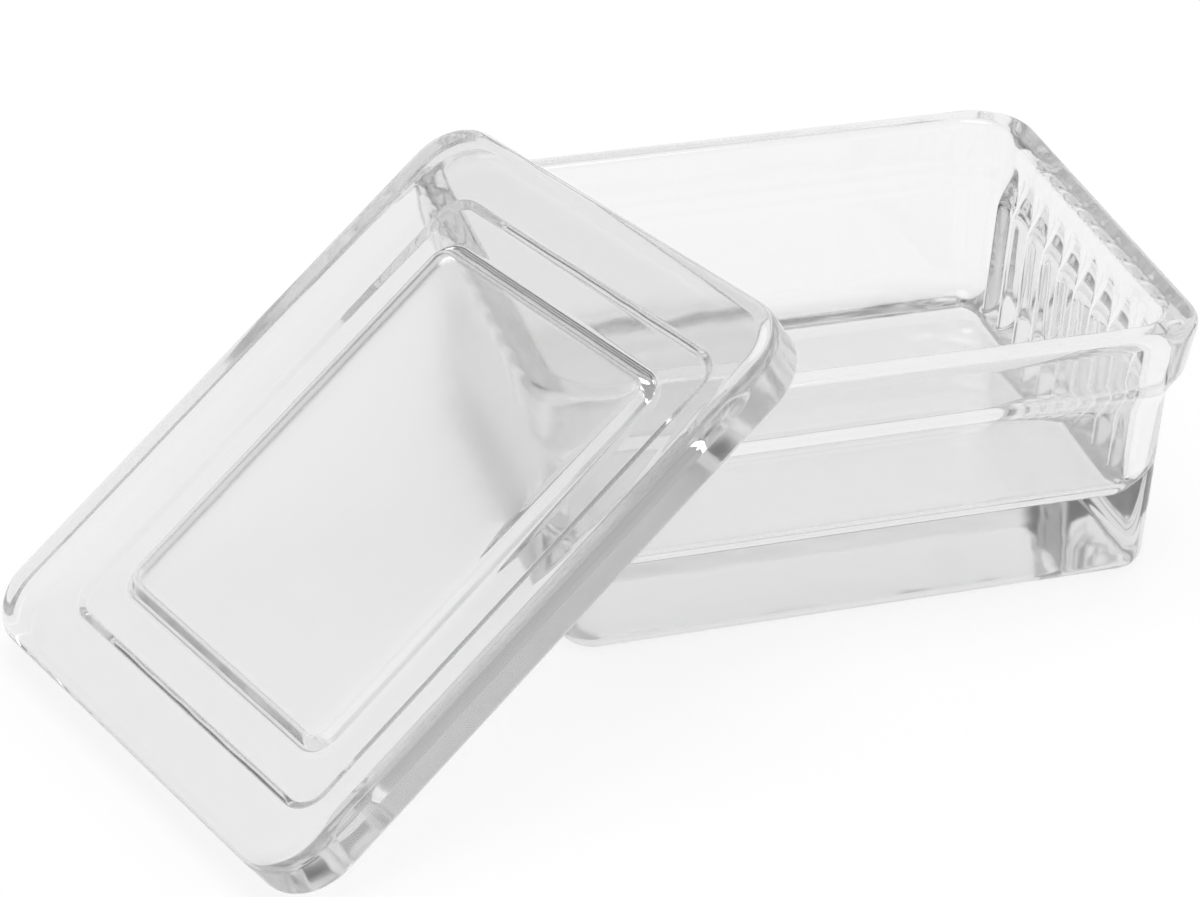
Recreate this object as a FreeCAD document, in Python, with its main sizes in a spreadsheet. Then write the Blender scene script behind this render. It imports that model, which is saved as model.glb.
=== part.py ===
import FreeCAD, Part
import math
import os
import Sketcher

# Slide staining jar: a pressed glass jar with ribs that part its slides, and its
# loose glass lid, which stands on one end and leans on a corner of the jar's rim.
# Millimetres. The jar stands on z = 0 with its long side along X and its centre
# on the Z axis.

UP = FreeCAD.Vector(0, 0, 1)
LEVEL = 1e-3

SIZES = [
    ("rim_length", 90.0),
    ("rim_width", 71.6),
    ("jar_height", 38.6),
    ("rim_corner", 8.8),
    ("band_height", 7.7),
    ("band_taper", 1.2),
    ("underside_height", 3.4),
    ("wall_inset", 3.3),
    ("wall_draft", 0.95),
    ("underside_round", 1.8),
    ("wall_blend", 1.8),
    ("foot_round", 2.3),
    ("rim_round", 1.4),
    ("rim_land", 4.7),
    ("floor_inset", 6.0),
    ("floor_thickness", 11.3),
    ("floor_round", 4.2),
    ("floor_margin", 0.3),
    ("rib_count", 9),
    ("rib_pitch", 5.6),
    ("rib_reach", 2.0),
    ("rib_nose", 1.0),
    ("rib_foot_width", 3.4),
    ("rib_top_width", 2.6),
    ("rib_root", 1.0),
    ("rib_drop", 5.2),
    ("rib_cap_round", 0.7),
    ("lid_thickness", 8.0),
    ("lid_corner", 7.7),
    ("lid_top_round", 2.2),
    ("lid_foot_round", 1.1),
    ("ridge_inset", 8.6),
    ("ridge_drop", 1.2),
    ("ridge_corner", 3.4),
    ("panel_inset", 13.5),
    ("panel_end_inset", 1.5),
    ("panel_depth", 2.8),
    ("panel_corner", 2.8),
    ("step_run", 1.2),
    ("step_round", 0.6),
    ("overrun", 1.0),
    ("lean_angle", 33.7),
    ("lean_turn", 20.9),
    ("lean_shift", -3.8),
    ("lean_gap", 0.25),
]

doc = FreeCAD.newDocument("slide_staining_jar")


def make_sheet():
    """The spreadsheet that holds every driving dimension."""
    sheet = doc.addObject("Spreadsheet::Sheet", "sizes")
    for row, (name, size) in enumerate(SIZES, start=1):
        sheet.set("A%d" % row, name)
        sheet.set("B%d" % row, str(size))
        sheet.setAlias("B%d" % row, name)
    doc.recompute()
    return sheet


def formula(text):
    """Point each size named in the text at its cell."""
    names = {name for name, size in SIZES}
    words = text.replace("(", "( ").replace(")", " )").split()
    return " ".join("sizes." + word if word in names else word for word in words)


def value(text):
    """The number a formula gives with the sheet's present sizes."""
    answer = sheet.evalExpression(formula(text))
    return float(getattr(answer, "Value", answer))


def plane(body, role):
    """One of the body's own origin planes."""
    return [item for item in body.Origin.OriginFeatures if item.Role == role][0]


def new_body(name):
    body = doc.addObject("PartDesign::Body", name)
    body.Label = name
    return body


def new_sketch(body, name, role, axis, distance):
    """A sketch on a plane parallel to an origin plane, moved along one of its own axes."""
    sketch = body.newObject("Sketcher::SketchObject", name)
    sketch.AttachmentSupport = (plane(body, role), [""])
    sketch.MapMode = "FlatFace"
    sketch.setExpression("AttachmentOffset.Base." + axis, formula(distance))
    return sketch


def bind(sketch, constraint, name, text):
    """Add a named dimension and drive it from the sheet."""
    sketch.renameConstraint(sketch.addConstraint(constraint), name)
    sketch.setExpression("Constraints." + name, formula(text))


def locate(sketch, point, direction, name, text):
    """Place a point along one axis of its sketch, on the axis, or either side of it."""
    size = value(text)
    if abs(size) < LEVEL:
        axis = -2 if direction == "X" else -1
        sketch.addConstraint(Sketcher.Constraint("PointOnObject", point, 1, axis))
    elif size > 0:
        constraint = Sketcher.Constraint("Distance" + direction, -1, 1, point, 1, size)
        bind(sketch, constraint, name, text)
    else:
        constraint = Sketcher.Constraint("Distance" + direction, point, 1, -1, 1, -size)
        bind(sketch, constraint, name, "- ( %s )" % text)


def corner_arc(spot, back, ahead, radius):
    """The round of a corner: where it is entered and left, and its arc in the XY plane."""
    half = back.getAngle(ahead) / 2
    enter = spot + back * (radius / math.tan(half))
    leave = spot + ahead * (radius / math.tan(half))
    centre = spot + (back + ahead).normalize() * (radius / math.sin(half))
    turns_left = back.cross(ahead).z < 0
    first, last = (enter, leave) if turns_left else (leave, enter)
    start = math.atan2(first.y - centre.y, first.x - centre.x)
    end = math.atan2(last.y - centre.y, last.x - centre.x)
    if end < start:
        end += 2 * math.pi
    return enter, leave, centre, start, end, turns_left


def draw(sketch, corners):
    """A closed outline through (x, y, round) corners given as formulas."""
    count = len(corners)
    spots = [FreeCAD.Vector(value(x), value(y), 0) for x, y, bend in corners]
    rounds = []
    for number, (x, y, bend) in enumerate(corners):
        spot = spots[number]
        back = (spots[number - 1] - spot).normalize()
        ahead = (spots[(number + 1) % count] - spot).normalize()
        rounds.append(corner_arc(spot, back, ahead, value(bend)))
    lines = []
    for number in range(count):
        leave = rounds[number][1]
        enter = rounds[(number + 1) % count][0]
        lines.append(sketch.addGeometry(Part.LineSegment(leave, enter)))
    for number, (x, y, bend) in enumerate(corners):
        before = lines[number - 1]
        after = lines[number]
        point = sketch.addGeometry(Part.Point(spots[number]), True)
        locate(sketch, point, "X", "x%d" % number, x)
        locate(sketch, point, "Y", "y%d" % number, y)
        if bend == "0":
            sketch.addConstraint(Sketcher.Constraint("Coincident", before, 2, point, 1))
            sketch.addConstraint(Sketcher.Constraint("Coincident", after, 1, point, 1))
            continue
        enter, leave, centre, start, end, turns_left = rounds[number]
        circle = Part.Circle(centre, UP, value(bend))
        arc = sketch.addGeometry(Part.ArcOfCircle(circle, start, end))
        first, last = (1, 2) if turns_left else (2, 1)
        sketch.addConstraint(Sketcher.Constraint("PointOnObject", point, 1, before))
        sketch.addConstraint(Sketcher.Constraint("PointOnObject", point, 1, after))
        sketch.addConstraint(Sketcher.Constraint("Tangent", before, 2, arc, first))
        sketch.addConstraint(Sketcher.Constraint("Tangent", arc, last, after, 1))
        radius = Sketcher.Constraint("Radius", arc, value(bend))
        bind(sketch, radius, "round%d" % number, bend)


def mould(body, name, cut, centre, section, shorter="0"):
    """Run an upright section round a rectangle with round corners, and fill the middle.

    The section is a list of (inset from the rim outline, height, round) corners that
    starts at the foot of the upright line through the corner centres and ends at its
    head; centre is the inset of that line. The ends can be set in by more than the
    sides. One quarter is made, then mirrored twice.
    """
    straight, turned = ("Pocket", "Groove") if cut else ("Pad", "Revolution")
    half_x = "rim_length / 2 - " + shorter + " - ( %s )"
    half_y = "rim_width / 2 - ( %s )"
    foot = section[0][1]
    head = section[-1][1]

    middle = new_sketch(body, name + "_middle_outline", "XY_Plane", "z", foot)
    corners = (("0", "0"), (half_x % centre, "0"), (half_x % centre, half_y % centre))
    corners += (("0", half_y % centre),)
    draw(middle, [(x, y, "0") for x, y in corners])
    core = extrude(body, straight, name + "_middle", middle, "( %s ) - ( %s )" % (head, foot))

    side = new_sketch(body, name + "_side_section", "YZ_Plane", "z", "0")
    draw(side, [(half_y % inset, height, bend) for inset, height, bend in section])
    long_side = extrude(body, straight, name + "_side", side, half_x % centre)

    away = "- ( %s )" % (half_y % centre)
    end = new_sketch(body, name + "_end_section", "XZ_Plane", "z", away)
    draw(end, [(half_x % inset, height, bend) for inset, height, bend in section])
    axis_x = value(half_x % centre)
    low = FreeCAD.Vector(axis_x, value(foot), 0)
    high = FreeCAD.Vector(axis_x, value(head), 0)
    closing = len(section) - 1
    axis = end.addGeometry(Part.LineSegment(low, high), True)
    end.addConstraint(Sketcher.Constraint("Coincident", axis, 1, closing, 2))
    end.addConstraint(Sketcher.Constraint("Coincident", axis, 2, closing, 1))
    short_side = extrude(body, straight, name + "_end", end, half_y % centre)

    corner = body.newObject("PartDesign::" + turned, name + "_corner")
    corner.Profile = end
    corner.ReferenceAxis = (end, ["Axis0"])
    corner.Angle = 90
    doc.recompute()
    return mirror(body, name, [core, long_side, short_side, corner])


def extrude(body, kind, name, sketch, length):
    """Push a sketch along its own normal, to add or to cut."""
    feature = body.newObject("PartDesign::" + kind, name)
    feature.Profile = sketch
    feature.Reversed = kind == "Pocket"
    feature.setExpression("Length", formula(length))
    doc.recompute()
    return feature


def mirror(body, name, features):
    """Mirror features to the other end, then both to the other side."""
    whole = body.newObject("PartDesign::MultiTransform", name)
    whole.Originals = features
    halves = []
    for role in ("YZ_Plane", "XZ_Plane"):
        half = body.newObject("PartDesign::Mirrored", name + "_" + role[:2].lower())
        half.MirrorPlane = (plane(body, role), [""])
        halves.append(half)
    whole.Transformations = halves
    body.Tip = whole
    doc.recompute()
    return whole


def rib_outline(body, name, height, root_x, nose_x, root_width):
    """One rib seen from above: two flanks that lean in to a round nose."""
    sketch = new_sketch(body, name, "XY_Plane", "z", height)
    first_y = "( rib_count - 1 ) / 2 * rib_pitch"
    y = -value(first_y)
    nose = value("rib_nose")
    root = value(root_x)
    centre = FreeCAD.Vector(value(nose_x) + nose, y, 0)
    half = value(root_width) / 2
    reach = root - centre.x
    lean = math.atan2(half, reach) - math.asin(nose / math.hypot(half, reach))
    start = math.pi / 2 + lean
    end = 3 * math.pi / 2 - lean
    arc = sketch.addGeometry(Part.ArcOfCircle(Part.Circle(centre, UP, nose), start, end))
    high = FreeCAD.Vector(root, y + half, 0)
    low = FreeCAD.Vector(root, y - half, 0)
    upper = sketch.addGeometry(Part.LineSegment(high, sketch.Geometry[arc].StartPoint))
    lower = sketch.addGeometry(Part.LineSegment(sketch.Geometry[arc].EndPoint, low))
    back = sketch.addGeometry(Part.LineSegment(low, high))
    sketch.addConstraint(Sketcher.Constraint("Tangent", upper, 2, arc, 1))
    sketch.addConstraint(Sketcher.Constraint("Tangent", arc, 2, lower, 1))
    sketch.addConstraint(Sketcher.Constraint("Coincident", lower, 2, back, 1))
    sketch.addConstraint(Sketcher.Constraint("Coincident", back, 2, upper, 1))
    sketch.addConstraint(Sketcher.Constraint("Vertical", back))
    sketch.addConstraint(Sketcher.Constraint("Equal", upper, lower))
    away = Sketcher.Constraint("DistanceX", -1, 1, back, 1, root)
    middle = Sketcher.Constraint("DistanceX", -1, 1, arc, 3, centre.x)
    aside = Sketcher.Constraint("DistanceY", arc, 3, -1, 1, -y)
    wide = Sketcher.Constraint("DistanceY", back, 1, back, 2, 2 * half)
    bind(sketch, away, "away", root_x)
    bind(sketch, middle, "middle", nose_x + " + rib_nose")
    bind(sketch, aside, "aside", first_y)
    bind(sketch, wide, "wide", root_width)
    bind(sketch, Sketcher.Constraint("Radius", arc, nose), "nose", "rib_nose")
    return sketch


def loft(body, kind, name, low, high):
    """Join two level sketches with straight-sided faces."""
    feature = body.newObject("PartDesign::" + kind, name)
    feature.Profile = low
    feature.Sections = [high]
    feature.Ruled = True
    doc.recompute()
    return feature


def level_edges(base, height, keep):
    """Names of the edges that lie level at a height and pass the test."""
    names = []
    for number, edge in enumerate(base.Shape.Edges, start=1):
        box = edge.BoundBox
        level = abs(box.ZMin - height) < LEVEL and abs(box.ZMax - height) < LEVEL
        if level and keep(box):
            names.append("Edge%d" % number)
    return names


def fillet(body, name, base, radius, height, keep=lambda box: True):
    """Round the level edges at one height."""
    names = level_edges(base, value(height), keep)
    if not names:
        raise ValueError(name + ": no edges at its height")
    feature = body.newObject("PartDesign::Fillet", name)
    feature.Base = (base, names)
    feature.setExpression("Radius", formula(radius))
    doc.recompute()
    return feature


def make_jar():
    body = new_body("jar")

    # The outside: a drafted wall, the flange's sloping underside and its upright band.
    junction = "jar_height - band_height - underside_height"
    outside = [
        ("rim_corner", "0", "0"),
        ("wall_inset + wall_draft", "0", "foot_round"),
        ("wall_inset", junction, "wall_blend"),
        ("band_taper", "jar_height - band_height", "underside_round"),
        ("0", "jar_height", "rim_round"),
        ("rim_corner", "jar_height", "0"),
    ]
    mould(body, "outside", False, "rim_corner", outside)

    # The drafted hollow, with a round at its floor and another at its mouth.
    centre = "floor_inset + floor_round + floor_margin"
    above = "jar_height + overrun"
    hollow = [
        (centre, "floor_thickness", "0"),
        ("floor_inset", "floor_thickness", "floor_round"),
        ("rim_land", "jar_height", "rim_round"),
        ("rim_land / 2", "jar_height", "0"),
        ("rim_land / 2", above, "0"),
        (centre, above, "0"),
    ]
    mould(body, "hollow", True, centre, hollow)

    # The ribs of one end, then the same ribs on the other.
    rise = "( jar_height - rib_drop - floor_thickness ) / ( jar_height - floor_thickness )"
    face_low = "rim_length / 2 - floor_inset"
    face_high = "%s + ( floor_inset - rim_land ) * %s" % (face_low, rise)
    low = rib_outline(
        body,
        "rib_foot",
        "floor_thickness",
        face_low + " + rib_root",
        face_low + " - rib_reach",
        "rib_foot_width",
    )
    high = rib_outline(
        body,
        "rib_top",
        "jar_height - rib_drop",
        face_high + " + rib_root",
        face_high + " - rib_reach",
        "rib_top_width",
    )
    rib = loft(body, "AdditiveLoft", "rib", low, high)
    ribs = repeat_ribs(body, rib, low)

    # Soft tops on the ribs.
    inner = value(face_high) - LEVEL
    top = "jar_height - rib_drop"
    fillet(
        body,
        "rib_tops",
        ribs,
        "rib_cap_round",
        top,
        lambda box: box.XLength > LEVEL and abs(box.Center.x) < inner,
    )
    return body


def repeat_ribs(body, rib, sketch):
    """Copy one rib along its end wall and mirror the row to the other end."""
    ribs = body.newObject("PartDesign::MultiTransform", "ribs")
    ribs.Originals = [rib]
    row = body.newObject("PartDesign::LinearPattern", "rib_row")
    row.Direction = (sketch, ["V_Axis"])
    other_end = body.newObject("PartDesign::Mirrored", "other_end")
    other_end.MirrorPlane = (plane(body, "YZ_Plane"), [""])
    ribs.Transformations = [row, other_end]
    body.Tip = ribs
    row.setExpression("Occurrences", formula("rib_count"))
    row.setExpression("Length", formula("( rib_count - 1 ) * rib_pitch"))
    doc.recompute()
    return ribs


def make_lid():
    body = new_body("lid")

    # The slab, rounded at its top edge and less at its foot.
    slab = [
        ("lid_corner", "0", "0"),
        ("0", "0", "lid_foot_round"),
        ("0", "lid_thickness", "lid_top_round"),
        ("lid_corner", "lid_thickness", "0"),
    ]
    mould(body, "slab", False, "lid_corner", slab)

    # A low plug under it that drops into the jar's mouth, and a panel sunk in the plug.
    centre = "ridge_inset + ridge_corner"
    outer = "ridge_inset - step_run / 2"
    plug = [
        (centre, "- ridge_drop", "0"),
        ("ridge_inset + step_run / 2", "- ridge_drop", "step_round"),
        (outer, "0", "step_round"),
        (outer + " - overrun", "0", "0"),
        (outer + " - overrun", "overrun", "0"),
        (centre, "overrun", "0"),
    ]
    mould(body, "plug", False, centre, plug)
    centre = "panel_inset + panel_corner"
    crest = "( ridge_inset + panel_inset ) / 2"
    panel = [
        (centre, "- ridge_drop - overrun", "0"),
        (crest, "- ridge_drop - overrun", "0"),
        (crest, "- ridge_drop", "0"),
        ("panel_inset - step_run / 2", "- ridge_drop", "step_round"),
        ("panel_inset + step_run / 2", "panel_depth", "step_round"),
        (centre, "panel_depth", "0"),
    ]
    mould(body, "panel", True, centre, panel, "panel_end_inset")
    body.Placement = lean()
    return body


def lean():
    """Where the lid stands: one short edge on the table, its panel on the rim."""
    angle = math.radians(value("lean_angle"))
    turn = math.radians(value("lean_turn"))
    shift = value("lean_shift")
    along = FreeCAD.Vector(
        math.cos(angle) * math.cos(turn), math.cos(angle) * math.sin(turn), math.sin(angle)
    )
    aside = FreeCAD.Vector(-math.sin(turn), math.cos(turn), 0)
    normal = along.cross(aside)

    # Height of the sharp foot corner that puts the rounded foot on the table.
    foot_z = -value("lid_foot_round") * (math.sin(angle) + math.cos(angle) - 1)

    # Furthest the jar's rim reaches along the lid's normal, at its front left corner.
    # The band leans out, so its edge round is centred a little more than its radius in.
    radius = value("rim_corner")
    edge = value("rim_round")
    draft = math.atan2(value("band_taper"), value("band_height"))
    setback = edge * (1 + math.sin(draft)) / math.cos(draft)
    corner = FreeCAD.Vector(
        radius - value("rim_length") / 2,
        radius - value("rim_width") / 2,
        value("jar_height") - edge,
    )
    level = math.hypot(normal.x, normal.y)
    support = normal.dot(corner) + (radius - setback) * level + edge

    # Distance back from the Z axis that leaves the named gap over that corner.
    rest = support - value("panel_depth") + value("lean_gap")
    back = (math.cos(angle) * foot_z - rest) / math.sin(angle)
    foot = FreeCAD.Vector(
        back * math.cos(turn) - shift * math.sin(turn),
        back * math.sin(turn) + shift * math.cos(turn),
        foot_z,
    )
    centre = foot + along * (value("rim_length") / 2)
    turned = FreeCAD.Rotation(along, aside, normal, "ZXY")
    return FreeCAD.Placement(centre, turned)


def check(bodies):
    """Stop on any feature or solid that did not build."""
    for item in doc.Objects:
        if "Invalid" in item.State or "Error" in item.State:
            raise ValueError(item.Name + " did not build")
    for body in bodies:
        shape = body.Shape
        if shape.isNull() or not shape.isValid() or len(shape.Solids) != 1:
            raise ValueError(body.Name + " is not one valid solid")


sheet = make_sheet()
bodies = [make_jar(), make_lid()]
doc.recompute()
check(bodies)
os.makedirs("parts", exist_ok=True)
for body in bodies:
    body.Shape.exportStep("parts/%s.step" % body.Label)
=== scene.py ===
import math

import bpy
from mathutils import Matrix, Vector


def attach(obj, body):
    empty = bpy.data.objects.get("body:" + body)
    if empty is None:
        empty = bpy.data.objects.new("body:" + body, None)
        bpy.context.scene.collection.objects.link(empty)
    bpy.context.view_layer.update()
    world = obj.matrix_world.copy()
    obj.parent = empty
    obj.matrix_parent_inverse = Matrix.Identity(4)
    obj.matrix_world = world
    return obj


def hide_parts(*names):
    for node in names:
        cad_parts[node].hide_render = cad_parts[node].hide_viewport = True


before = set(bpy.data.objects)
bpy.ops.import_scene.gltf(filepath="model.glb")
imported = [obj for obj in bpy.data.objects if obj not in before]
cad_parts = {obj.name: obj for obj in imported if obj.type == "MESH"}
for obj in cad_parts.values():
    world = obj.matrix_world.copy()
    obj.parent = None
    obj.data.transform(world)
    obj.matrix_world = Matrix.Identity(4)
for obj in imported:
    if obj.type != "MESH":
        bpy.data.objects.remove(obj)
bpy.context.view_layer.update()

MM = 0.001

# The jar, in millimetres. The sizes are the CAD model's. The rounds of the flange's underside
# and the ribs' section and tops are softer, to match the look of the pressed glass.
RIM_LENGTH = 90.0
RIM_WIDTH = 71.6
JAR_HEIGHT = 38.6
RIM_CORNER = 8.8
BAND_HEIGHT = 7.7
BAND_TAPER = 1.2
UNDERSIDE_HEIGHT = 3.4
WALL_INSET = 3.3
WALL_DRAFT = 0.95
UNDERSIDE_ROUND = 5.0
FOOT_ROUND = 2.3
RIM_ROUND = 1.4
RIM_LAND = 4.7
FLOOR_INSET = 6.0
FLOOR_THICKNESS = 11.3
FLOOR_ROUND = 4.2
FLOOR_MARGIN = 0.3
RIB_COUNT = 9
RIB_PITCH = 5.6
RIB_REACH = 2.0
# A rib is full within its crest and gone beyond its foot, both measured from its middle.
RIB_CREST = 0.2
RIB_FOOT = 2.3
# It ends this far below the rim, and fades out over the height below that.
RIB_DROP = 2.2
RIB_FADE = 8.0

# The lid, in millimetres, in its own frame: u along it, v across it, w up from
# the rim of its underside.
LID_THICKNESS = 8.0
LID_CORNER = 7.7
LID_TOP_ROUND = 2.2
LID_FOOT_ROUND = 1.1
RIDGE_INSET = 8.6
RIDGE_DROP = 1.2
RIDGE_CORNER = 3.4
PANEL_INSET = 13.5
PANEL_END_INSET = 1.5
PANEL_DEPTH = 2.8
PANEL_CORNER = 2.8
# The slope and the rounds of the ridge's step and of the panel's step.
RIDGE_RUN = 1.0
RIDGE_ROUND = 0.5
PANEL_RUN = 1.6
PANEL_ROUND = 1.1
# The lid's lean on the jar, in degrees and millimetres.
LEAN_ANGLE = 33.7
LEAN_TURN = 20.9
LEAN_SHIFT = -3.8
LEAN_GAP = 0.25

# How bright the studio is, by the sine of the height angle.
SKY = (
    (0.0, 0.85),
    (0.17, 0.9),
    (0.35, 0.95),
    (0.5, 0.95),
    (0.64, 0.65),
    (0.8, 0.5),
    (1.0, 0.35),
)
# The dark gap high behind, by the cosine of the angle from its middle.
GAP_TOWARDS = (-0.2, 0.65, 0.73)
GAP_EDGE = 0.86
GAP_CORE = 0.96
GAP_LEVEL = 0.2
# The lamp above, in metres and watts.
LAMP_SIZE = 0.9
LAMP_POWER = 5.0
LAMP_SPOT = (-0.05, 0.0, 1.3)
# The table takes shadows with its paint. Its glow is what the camera and the glass see of a
# white sweep, and it is painted light: bright near the middle and dimmer further off, in metres
# from the middle.
FLOOR_REACH = 3.0
FLOOR_LEVEL = -0.0001
FLOOR_PAINT = 0.25
FLOOR_GLOW = 0.8
FAR_GLOW = 0.6
TABLE_BRIGHT = 0.26
TABLE_DIM = 0.9
# Glass shows dark bands where light inside it is cut off after too few bounces.
BOUNCES = 24

# The glass. Its body absorbs density times (1 - colour) of the light for each metre.
GLASS_INDEX = 1.5
GLASS_TINT = 0.94
BODY_COLOUR = 0.5
BODY_DENSITY = 6.0
WAVE_SCALE = 110.0
WAVE_DETAIL = 1.0
WAVE_DEPTH = 0.07
SURFACE_HAZE = 0.06
LID_HAZE = 0.25

# The camera: bearing, height and roll in degrees, and its place in metres.
CAMERA_AZIMUTH = -16.39
CAMERA_ELEVATION = 31.07
CAMERA_ROLL = 0.90
CAMERA_DISTANCE = 0.46060
CAMERA_ASIDE = -0.02645
CAMERA_ABOVE = 0.00599
CAMERA_LENS = 98.73
CAMERA_SENSOR = 36.0
CAMERA_NEAR = 0.01

# Mesh fineness, in millimetres and degrees.
ARC_STEP = 9.0
LONGEST = 3.0
HOLD = 0.12
HELD_RUN = 6 * HOLD
RIB_ROW = 0.15
RIB_ROW_LEAST = 0.2
CORNER_STEPS = 14
LONG_STEPS = 30
END_STEPS = 196
# How far in the flat faces are capped, and how small a ring's corner may get.
BASE_CAP = 16.0
FLOOR_CAP = 20.0
LID_CAP = 22.0
BASE_LEAST_CORNER = 1.0
LID_LEAST_CORNER = 0.5
LEAST_CORNER = 0.1
# The ridge's flat changes from its own outline to the panel's across its crest.
CREST_HALF = 0.5
CREST_SWITCH = 0.01
TOLERANCE = 0.01


def interpolate(table, x):
    """Piecewise linear value of a table of (x, y) rows."""
    if x <= table[0][0]:
        return table[0][1]
    for (x0, y0), (x1, y1) in zip(table, table[1:]):
        if x <= x1:
            return y0 + (y1 - y0) * (x - x0) / (x1 - x0)
    return table[-1][1]


def smooth(low, high, x):
    """A smooth step from 0 at low to 1 at high."""
    t = min(max((x - low) / (high - low), 0.0), 1.0)
    return t * t * (3.0 - 2.0 * t)


def rounded(corners):
    """A profile line through (inset, height, radius) corners, each rounded by an arc."""
    points = [Vector(corner[:2]) for corner in corners]
    line = [points[0]]
    for i in range(1, len(points) - 1):
        before = (points[i - 1] - points[i]).normalized()
        after = (points[i + 1] - points[i]).normalized()
        angle = before.angle(after)
        radius = corners[i][2]
        reach = radius / math.tan(angle / 2)
        centre = points[i] + (before + after).normalized() * radius / math.sin(angle / 2)
        start = points[i] + before * reach - centre
        end = points[i] + after * reach - centre
        turn = math.pi - angle
        steps = max(2, math.ceil(math.degrees(turn) / ARC_STEP))
        for k in range(steps + 1):
            share = k / steps
            spoke = start * math.sin((1 - share) * turn) + end * math.sin(share * turn)
            line.append(centre + spoke / math.sin(turn))
    line.append(points[-1])
    return line


def held(line):
    """Split the long runs of a profile and hold each close to both its ends."""
    out = [line[0]]
    for a, b in zip(line, line[1:]):
        run = (b - a).length
        if run < 1e-6:
            continue
        shares = [1.0]
        if run > HELD_RUN:
            steps = max(1, math.ceil(run / LONGEST))
            shares = [HOLD / run]
            shares += [k / steps for k in range(1, steps)]
            shares += [1 - HOLD / run, 1.0]
        out += [a.lerp(b, share) for share in shares]
    return out


def ring(half_length, half_width, radius):
    """A rounded rectangle, anticlockwise from the lower end of its +X side."""
    x = half_length - radius
    y = half_width - radius
    quarters = [(x, y, END_STEPS), (-x, y, LONG_STEPS), (-x, -y, END_STEPS), (x, -y, LONG_STEPS)]
    points = []
    for quarter, (cx, cy, steps) in enumerate(quarters):
        px, py, _ = quarters[quarter - 1]
        turn = quarter * math.pi / 2
        out_x = radius * math.cos(turn)
        out_y = radius * math.sin(turn)
        for k in range(steps):
            share = k / steps
            points.append((px + (cx - px) * share + out_x, py + (cy - py) * share + out_y))
        for k in range(CORNER_STEPS):
            angle = turn + math.pi / 2 * k / CORNER_STEPS
            points.append((cx + radius * math.cos(angle), cy + radius * math.sin(angle)))
    return points


def loft(name, levels):
    """A closed mesh through rings of (x, y, z) points, capped at both ends."""
    count = len(levels[0])
    points = [point for level in levels for point in level]
    faces = [tuple(reversed(range(count)))]
    for i in range(len(levels) - 1):
        low = i * count
        high = low + count
        for k in range(count):
            after = (k + 1) % count
            faces.append((low + k, low + after, high + after, high + k))
    faces.append(tuple(range(len(points) - count, len(points))))
    mesh = bpy.data.meshes.new(name)
    mesh.from_pydata([Vector(point) * MM for point in points], [], faces)
    for face in mesh.polygons:
        face.use_smooth = True
    piece = bpy.data.objects.new(name, mesh)
    bpy.context.scene.collection.objects.link(piece)
    return piece


def rib_height(y, z, wall_extra):
    """How far the ribs stand in from the end wall at a width and height."""
    place = round(y / RIB_PITCH)
    if abs(place) > (RIB_COUNT - 1) // 2:
        return 0.0
    shape = 1.0 - smooth(RIB_CREST, RIB_FOOT, abs(y - place * RIB_PITCH))
    top = JAR_HEIGHT - RIB_DROP
    fade = 1.0 - smooth(top - RIB_FADE, top, z)
    return max(RIB_REACH * shape * fade - wall_extra, 0.0)


def ribbed_rows(line):
    """Add close rows where the ribs fade out."""
    top = JAR_HEIGHT - RIB_DROP
    rows = []
    for a, b in zip(line, line[1:]):
        rows.append(a)
        fall = a.y - b.y
        if fall > RIB_ROW_LEAST and a.y > top - RIB_FADE:
            steps = math.ceil(fall / RIB_ROW)
            rows += [a.lerp(b, k / steps) for k in range(1, steps)]
    rows.append(line[-1])
    return rows


def make_jar():
    """The jar, from the middle of its base up the outside and down the ribbed hollow."""
    junction = JAR_HEIGHT - BAND_HEIGHT - UNDERSIDE_HEIGHT
    foot = WALL_INSET + WALL_DRAFT
    outer = [
        (BASE_CAP, 0.0, 0.0),
        (foot, 0.0, FOOT_ROUND),
        (WALL_INSET, junction, UNDERSIDE_ROUND),
        (BAND_TAPER, JAR_HEIGHT - BAND_HEIGHT, UNDERSIDE_ROUND),
        (0.0, JAR_HEIGHT, RIM_ROUND),
        (RIM_LAND / 2, JAR_HEIGHT, 0.0),
    ]
    inner = [
        (RIM_LAND / 2, JAR_HEIGHT, 0.0),
        (RIM_LAND, JAR_HEIGHT, RIM_ROUND),
        (FLOOR_INSET, FLOOR_THICKNESS, FLOOR_ROUND),
        (FLOOR_CAP, FLOOR_THICKNESS, 0.0),
    ]
    levels = []
    for inset, height in held(rounded(outer)):
        corner = max(RIM_CORNER - inset, BASE_LEAST_CORNER)
        outline = ring(RIM_LENGTH / 2 - inset, RIM_WIDTH / 2 - inset, corner)
        levels.append([(x, y, height) for x, y in outline])
    centre = FLOOR_INSET + FLOOR_ROUND + FLOOR_MARGIN
    slope = (FLOOR_INSET - RIM_LAND) / (JAR_HEIGHT - FLOOR_THICKNESS)
    for inset, height in ribbed_rows(held(rounded(inner)))[1:]:
        corner = max(centre - inset, LEAST_CORNER)
        half = RIM_LENGTH / 2 - inset
        outline = ring(half, RIM_WIDTH / 2 - inset, corner)
        extra = max(inset - RIM_LAND - (JAR_HEIGHT - height) * slope, 0.0)
        level = []
        for x, y in outline:
            if abs(x) > half - TOLERANCE and inset > RIM_LAND:
                x -= math.copysign(rib_height(y, height, extra), x)
            level.append((x, y, height))
        levels.append(level)
    return loft("jar_shape", levels)


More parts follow.
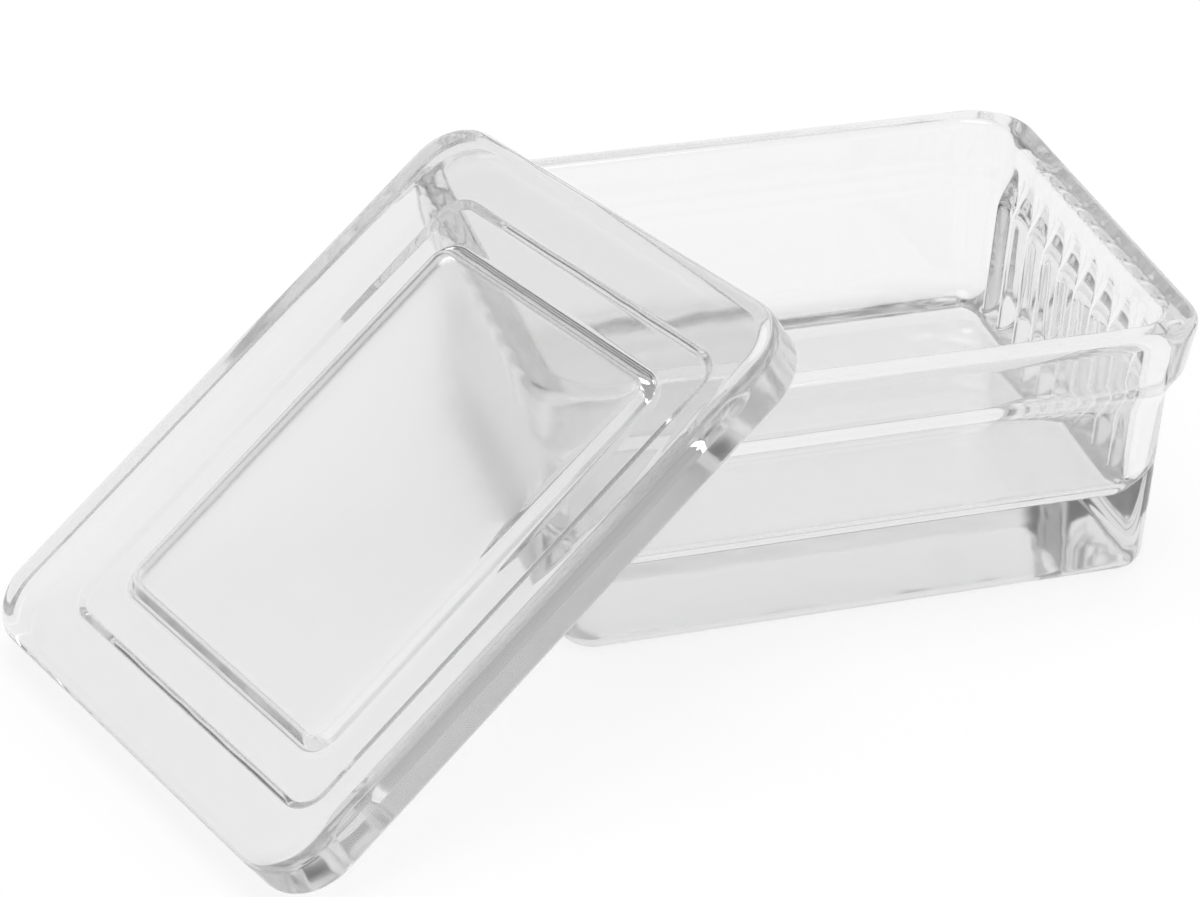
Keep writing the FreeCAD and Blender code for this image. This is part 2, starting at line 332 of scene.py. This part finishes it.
def lid_place():
    """The lid's frame on its lean: one short edge on the table, its panel on the rim."""
    angle = math.radians(LEAN_ANGLE)
    turn = math.radians(LEAN_TURN)
    along = Vector(
        (math.cos(angle) * math.cos(turn), math.cos(angle) * math.sin(turn), math.sin(angle))
    )
    aside = Vector((-math.sin(turn), math.cos(turn), 0.0))
    normal = along.cross(aside)
    foot_z = -LID_FOOT_ROUND * (math.sin(angle) + math.cos(angle) - 1)
    draft = math.atan2(BAND_TAPER, BAND_HEIGHT)
    setback = RIM_ROUND * (1 + math.sin(draft)) / math.cos(draft)
    corner = Vector(
        (RIM_CORNER - RIM_LENGTH / 2, RIM_CORNER - RIM_WIDTH / 2, JAR_HEIGHT - RIM_ROUND)
    )
    level = math.hypot(normal.x, normal.y)
    support = normal.dot(corner) + (RIM_CORNER - setback) * level + RIM_ROUND
    rest = support - PANEL_DEPTH + LEAN_GAP
    back = (math.cos(angle) * foot_z - rest) / math.sin(angle)
    foot = Vector(
        (
            back * math.cos(turn) - LEAN_SHIFT * math.sin(turn),
            back * math.sin(turn) + LEAN_SHIFT * math.cos(turn),
            foot_z,
        )
    )
    return foot + along * RIM_LENGTH / 2, along, aside, normal


def make_lid():
    """The lid, from the middle of its underside out over the steps and round to its top."""
    line = held(
        rounded(
            [
                (LID_CAP, PANEL_DEPTH, 0.0),
                (PANEL_INSET + PANEL_RUN / 2, PANEL_DEPTH, PANEL_ROUND),
                (PANEL_INSET - PANEL_RUN / 2, -RIDGE_DROP, PANEL_ROUND),
                (RIDGE_INSET + RIDGE_RUN / 2, -RIDGE_DROP, RIDGE_ROUND),
                (RIDGE_INSET - RIDGE_RUN / 2, 0.0, RIDGE_ROUND),
                (0.0, 0.0, LID_FOOT_ROUND),
                (0.0, LID_THICKNESS, LID_TOP_ROUND),
                (LID_CAP, LID_THICKNESS, 0.0),
            ]
        )
    )
    crest = (RIDGE_INSET + PANEL_INSET) / 2
    edge = RIDGE_INSET - RIDGE_RUN / 2 - RIDGE_ROUND
    ridge_centre = RIDGE_INSET + RIDGE_CORNER
    panel_centre = PANEL_INSET + PANEL_CORNER
    # The corner's radius by the inset, over the top and over the underside.
    above = [
        (0.0, LID_CORNER),
        (LID_CORNER - LID_LEAST_CORNER, LID_LEAST_CORNER),
        (LID_CAP, LID_LEAST_CORNER),
    ]
    below = [
        (0.0, LID_CORNER),
        (edge, ridge_centre - edge),
        (crest, ridge_centre - crest),
        (crest + CREST_SWITCH, panel_centre - crest),
        (panel_centre - LEAST_CORNER, LEAST_CORNER),
        (LID_CAP, LEAST_CORNER),
    ]
    shorter = [(crest - CREST_HALF, 0.0), (crest + CREST_HALF, PANEL_END_INSET)]
    origin, along, aside, normal = lid_place()
    levels = []
    for inset, height in line:
        under = height < LID_THICKNESS / 2
        corner = interpolate(below if under else above, inset)
        less = interpolate(shorter, inset) if under else 0.0
        outline = ring(RIM_LENGTH / 2 - inset - less, RIM_WIDTH / 2 - inset, corner)
        levels.append([origin + along * u + aside * v + normal * height for u, v in outline])
    return loft("lid_shape", levels)


def mark_underside(piece):
    """Mark the lid's sunk panel, which the press left hazy."""
    origin, along, aside, normal = lid_place()
    marks = piece.data.attributes.new("pressed", "FLOAT", "POINT")
    start = PANEL_INSET + PANEL_RUN / 2
    full = PANEL_INSET + 2 * PANEL_RUN
    for vertex, mark in zip(piece.data.vertices, marks.data):
        offset = vertex.co / MM - origin
        inset = min(
            RIM_LENGTH / 2 - abs(offset.dot(along)), RIM_WIDTH / 2 - abs(offset.dot(aside))
        )
        below = offset.dot(normal) < LID_THICKNESS / 2
        mark.value = smooth(start, full, inset) if below else 0.0


def glass(name):
    """Clear pressed glass, faintly grey in its depth, with soft waves in its surface."""
    material = bpy.data.materials.new(name)
    material.use_nodes = True
    nodes = material.node_tree.nodes
    links = material.node_tree.links
    shader = nodes["Principled BSDF"]
    shader.inputs["Transmission Weight"].default_value = 1.0
    shader.inputs["IOR"].default_value = GLASS_INDEX
    shader.inputs["Base Color"].default_value = (GLASS_TINT, GLASS_TINT, GLASS_TINT, 1.0)
    shader.inputs["Roughness"].default_value = SURFACE_HAZE
    place = nodes.new("ShaderNodeTexCoord")
    noise = nodes.new("ShaderNodeTexNoise")
    noise.inputs["Scale"].default_value = WAVE_SCALE
    noise.inputs["Detail"].default_value = WAVE_DETAIL
    links.new(place.outputs["Object"], noise.inputs["Vector"])
    bump = nodes.new("ShaderNodeBump")
    bump.inputs["Distance"].default_value = WAVE_DEPTH * MM
    links.new(noise.outputs[0], bump.inputs["Height"])
    links.new(bump.outputs[0], shader.inputs["Normal"])
    body = nodes.new("ShaderNodeVolumeAbsorption")
    body.inputs["Color"].default_value = (BODY_COLOUR, BODY_COLOUR, BODY_COLOUR, 1.0)
    body.inputs["Density"].default_value = BODY_DENSITY
    links.new(body.outputs[0], nodes["Material Output"].inputs["Volume"])
    return material


def add_haze(material):
    """Make glass hazy where it is marked as pressed."""
    nodes = material.node_tree.nodes
    links = material.node_tree.links
    marks = nodes.new("ShaderNodeAttribute")
    marks.attribute_name = "pressed"
    rough = nodes.new("ShaderNodeMapRange")
    rough.inputs["To Min"].default_value = SURFACE_HAZE
    rough.inputs["To Max"].default_value = LID_HAZE
    links.new(marks.outputs["Fac"], rough.inputs["Value"])
    links.new(rough.outputs[0], nodes["Principled BSDF"].inputs["Roughness"])


def make_floor():
    """A pale table, which stands for a white sweep to the camera and in the glass, with a
    painted glow that dims further off.
    """
    mesh = bpy.data.meshes.new("floor")
    corners = [
        (-FLOOR_REACH, -FLOOR_REACH),
        (FLOOR_REACH, -FLOOR_REACH),
        (FLOOR_REACH, FLOOR_REACH),
        (-FLOOR_REACH, FLOOR_REACH),
    ]
    mesh.from_pydata([(x, y, FLOOR_LEVEL) for x, y in corners], [], [(0, 1, 2, 3)])
    floor = bpy.data.objects.new("floor", mesh)
    bpy.context.scene.collection.objects.link(floor)
    material = bpy.data.materials.new("floor")
    material.use_nodes = True
    nodes = material.node_tree.nodes
    links = material.node_tree.links
    nodes.remove(nodes["Principled BSDF"])
    paint = nodes.new("ShaderNodeBsdfDiffuse")
    paint.inputs["Color"].default_value = (FLOOR_PAINT, FLOOR_PAINT, FLOOR_PAINT, 1.0)
    glow = nodes.new("ShaderNodeEmission")
    ray = nodes.new("ShaderNodeLightPath")
    seen = ray.outputs["Is Camera Ray"]
    for kind in ("Is Glossy Ray", "Is Transmission Ray"):
        total = nodes.new("ShaderNodeMath")
        total.use_clamp = True
        links.new(seen, total.inputs[0])
        links.new(ray.outputs[kind], total.inputs[1])
        seen = total.outputs[0]
    # Painted light: the glow fades from its near level to its far level with the distance from
    # the middle.
    place = nodes.new("ShaderNodeTexCoord")
    distance = nodes.new("ShaderNodeVectorMath")
    distance.operation = "LENGTH"
    painted_falloff = nodes.new("ShaderNodeMapRange")
    painted_falloff.interpolation_type = "SMOOTHSTEP"
    painted_falloff.inputs["From Min"].default_value = TABLE_BRIGHT
    painted_falloff.inputs["From Max"].default_value = TABLE_DIM
    painted_falloff.inputs["To Min"].default_value = FLOOR_GLOW
    painted_falloff.inputs["To Max"].default_value = FAR_GLOW
    level = nodes.new("ShaderNodeMath")
    level.operation = "MULTIPLY"
    links.new(place.outputs["Object"], distance.inputs[0])
    links.new(distance.outputs["Value"], painted_falloff.inputs["Value"])
    links.new(seen, level.inputs[0])
    links.new(painted_falloff.outputs[0], level.inputs[1])
    links.new(level.outputs[0], glow.inputs["Strength"])
    both = nodes.new("ShaderNodeAddShader")
    links.new(paint.outputs[0], both.inputs[0])
    links.new(glow.outputs[0], both.inputs[1])
    links.new(both.outputs[0], nodes["Material Output"].inputs["Surface"])
    mesh.materials.append(material)


def make_world():
    """A studio that is bright low down and darker overhead, with a dark gap high behind."""
    world = bpy.data.worlds.new("studio")
    bpy.context.scene.world = world
    world.use_nodes = True
    nodes = world.node_tree.nodes
    links = world.node_tree.links
    place = nodes.new("ShaderNodeTexCoord")
    parts = nodes.new("ShaderNodeSeparateXYZ")
    ramp = nodes.new("ShaderNodeValToRGB")
    stops = ramp.color_ramp.elements
    while len(stops) < len(SKY):
        stops.new(1.0)
    for stop, (sine, level) in zip(stops, SKY):
        stop.position = sine
        stop.color = (level, level, level, 1.0)
    nearness = nodes.new("ShaderNodeVectorMath")
    nearness.operation = "DOT_PRODUCT"
    nearness.inputs[1].default_value = Vector(GAP_TOWARDS).normalized()
    gap = nodes.new("ShaderNodeMapRange")
    gap.interpolation_type = "SMOOTHSTEP"
    gap.inputs["From Min"].default_value = GAP_EDGE
    gap.inputs["From Max"].default_value = GAP_CORE
    gap.inputs["To Min"].default_value = 1.0
    gap.inputs["To Max"].default_value = GAP_LEVEL
    links.new(place.outputs["Generated"], parts.inputs[0])
    links.new(place.outputs["Generated"], nearness.inputs[0])
    links.new(parts.outputs["Z"], ramp.inputs[0])
    links.new(nearness.outputs["Value"], gap.inputs["Value"])
    links.new(ramp.outputs[0], nodes["Background"].inputs["Color"])
    links.new(gap.outputs[0], nodes["Background"].inputs["Strength"])


def make_lamp():
    """One large soft lamp above."""
    data = bpy.data.lights.new("softbox", "AREA")
    data.shape = "DISK"
    data.size = LAMP_SIZE
    data.energy = LAMP_POWER
    lamp = bpy.data.objects.new("softbox", data)
    bpy.context.scene.collection.objects.link(lamp)
    spot = Vector(LAMP_SPOT)
    turned = spot.to_track_quat("Z", "Y").to_matrix().to_4x4()
    lamp.matrix_world = Matrix.Translation(spot) @ turned


def make_camera():
    """The camera at the viewing angle, given by its bearing, height and roll."""
    azimuth = math.radians(CAMERA_AZIMUTH)
    elevation = math.radians(CAMERA_ELEVATION)
    roll = math.radians(CAMERA_ROLL)
    back = Vector(
        (
            math.sin(azimuth) * math.cos(elevation),
            -math.cos(azimuth) * math.cos(elevation),
            math.sin(elevation),
        )
    )
    level = Vector((0, 0, 1)).cross(back).normalized()
    up = back.cross(level)
    right = math.cos(roll) * level + math.sin(roll) * up
    top = back.cross(right)
    data = bpy.data.cameras.new("camera")
    data.lens = CAMERA_LENS
    data.sensor_width = CAMERA_SENSOR
    data.clip_start = CAMERA_NEAR
    camera = bpy.data.objects.new("camera", data)
    bpy.context.scene.collection.objects.link(camera)
    turned = Matrix((right, top, back)).transposed().to_4x4()
    spot = right * CAMERA_ASIDE + top * CAMERA_ABOVE + back * CAMERA_DISTANCE
    camera.matrix_world = Matrix.Translation(spot) @ turned
    bpy.context.scene.camera = camera


bpy.context.scene.view_settings.view_transform = "Standard"
bpy.context.scene.cycles.max_bounces = BOUNCES
bpy.context.scene.cycles.transmission_bounces = BOUNCES
bpy.context.scene.cycles.glossy_bounces = BOUNCES
make_camera()
make_world()
make_lamp()
make_floor()
for node, piece in (("jar", make_jar()), ("lid", make_lid())):
    material = glass(node + "_glass")
    piece.data.materials.append(material)
    if node == "lid":
        mark_underside(piece)
        add_haze(material)
    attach(piece, "root")
    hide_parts(node)
